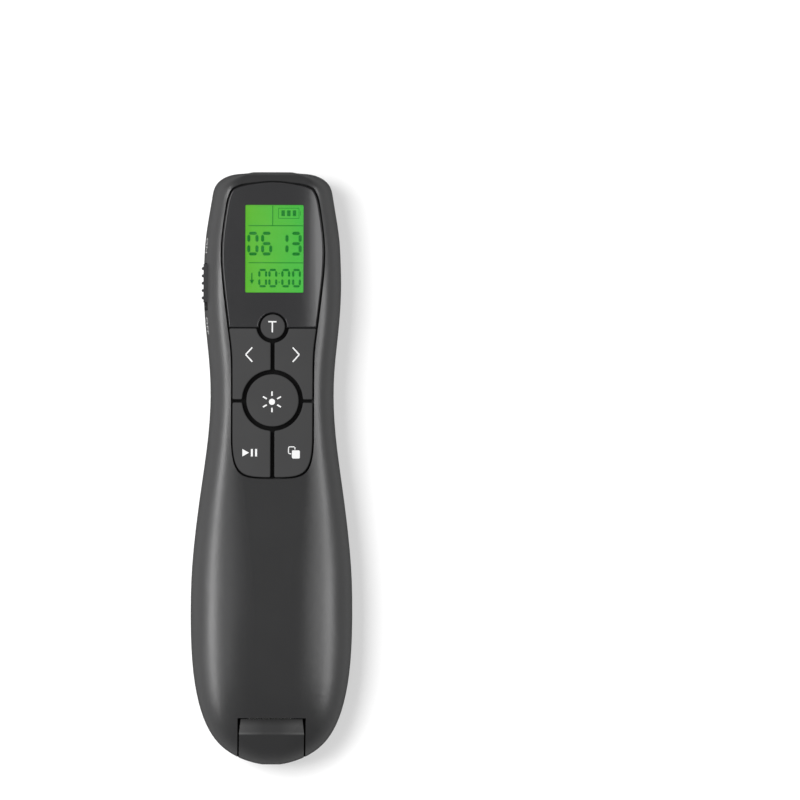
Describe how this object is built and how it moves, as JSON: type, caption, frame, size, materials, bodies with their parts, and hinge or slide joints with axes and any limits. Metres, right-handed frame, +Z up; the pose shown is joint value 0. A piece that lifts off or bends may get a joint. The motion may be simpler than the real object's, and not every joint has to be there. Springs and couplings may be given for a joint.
{
  "type": "wireless presentation clicker",
  "caption": "Hourglass hand-held presentation remote with a green display, crowned keys, a round laser key, a side power slide, a sliding battery door and a USB receiver parked in the tail.",
  "frame": {"origin": "under the middle of the bounding box, on the plane that it rests on", "axes": "+Z up through the keys, +Y towards the laser nose, +X to the right seen from above"},
  "size_m": [0.0396, 0.1451, 0.0252],
  "materials": {
    "shell": "satin charcoal",
    "bezel": "gloss charcoal",
    "keys": "satin grey",
    "knob": "satin charcoal",
    "window": "clear",
    "lcd_glass": "green display",
    "diffuser": "green lit",
    "frame_plastic": "satin",
    "rubber": "matte",
    "board": "solder mask",
    "switch_plastic": "satin",
    "chip": "matte",
    "steel": "bright",
    "brass": "bright",
    "weight": "sintered",
    "cell": "printed sleeve",
    "screw": "blackened"
  },
  "bodies": {
    "housing": {"battery_contacts": "steel", "battery_left": "cell", "battery_right": "cell", "battery_springs": "steel", "crystal": "steel", "display_bezel": "bezel", "display_window": "window", "housing_screws": "screw", "laser_barrel": "brass", "laser_board": "board", "laser_diode": "steel", "laser_lens": "window", "laser_window": "window", "lcd_backlight": "diffuser", "lcd_frame": "frame_plastic", "lcd_glass": "lcd_glass", "lower_shell": "shell", "main_pcb": "board", "microcontroller": "chip", "motor_can": "steel", "pcb_screws": "screw", "radio_chip": "chip", "slide_switch_body": "steel", "tact_switches": "switch_plastic", "upper_shell": "shell", "zebra_strip": "rubber"},
    "power_slide": {"power_knob": "knob", "slide_actuator": "switch_plastic"},
    "battery_door": {"battery_door": "shell"},
    "vibration_weight": {"motor_shaft": "steel", "motor_weight": "weight"},
    "receiver": {"receiver_upper_case": "shell", "receiver_lower_case": "shell", "receiver_pcb": "board", "receiver_chip": "chip", "usb_shell": "steel", "usb_tongue": "switch_plastic", "usb_contacts": "brass"},
    "timer_button": {"timer_key": "keys", "timer_plunger": "switch_plastic"},
    "back_button": {"back_key": "keys", "back_plunger": "switch_plastic"},
    "next_button": {"next_key": "keys", "next_plunger": "switch_plastic"},
    "laser_button": {"laser_key": "keys", "laser_plunger": "switch_plastic"},
    "play_button": {"play_key": "keys", "play_plunger": "switch_plastic"},
    "blank_button": {"blank_key": "keys", "blank_plunger": "switch_plastic"}
  },
  "joints": [
    {"name": "timer_press", "type": "slide", "parent": "housing", "child": "timer_button", "axis": [0, 0, -1], "range_m": [0, 0.0004], "stiffness_N_per_m": 400, "springref_m": -0.0005},
    {"name": "back_press", "type": "slide", "parent": "housing", "child": "back_button", "axis": [0, 0, -1], "range_m": [0, 0.0004], "stiffness_N_per_m": 400, "springref_m": -0.0005},
    {"name": "next_press", "type": "slide", "parent": "housing", "child": "next_button", "axis": [0, 0, -1], "range_m": [0, 0.0004], "stiffness_N_per_m": 400, "springref_m": -0.0005},
    {"name": "laser_press", "type": "slide", "parent": "housing", "child": "laser_button", "axis": [0, 0, -1], "range_m": [0, 0.0004], "stiffness_N_per_m": 400, "springref_m": -0.0005},
    {"name": "play_press", "type": "slide", "parent": "housing", "child": "play_button", "axis": [0, 0, -1], "range_m": [0, 0.0004], "stiffness_N_per_m": 400, "springref_m": -0.0005},
    {"name": "blank_press", "type": "slide", "parent": "housing", "child": "blank_button", "axis": [0, 0, -1], "range_m": [0, 0.0004], "stiffness_N_per_m": 400, "springref_m": -0.0005},
    {"name": "power_switch", "type": "slide", "parent": "housing", "child": "power_slide", "axis": [0, -1, 0], "range_m": [0, 0.0018]},
    {"name": "receiver_slide", "type": "slide", "parent": "housing", "child": "receiver", "axis": [0, -1, 0], "range_m": [0, 0.026]},
    {"name": "battery_door_slide", "type": "slide", "parent": "housing", "child": "battery_door", "axis": [0, -1, 0], "range_m": [0, 0.006]},
    {"name": "vibration_spin", "type": "hinge", "parent": "housing", "child": "vibration_weight", "pos_m": [0, 0.033, 0.0077], "axis": [0, 1, 0], "continuous": true}
  ]
}
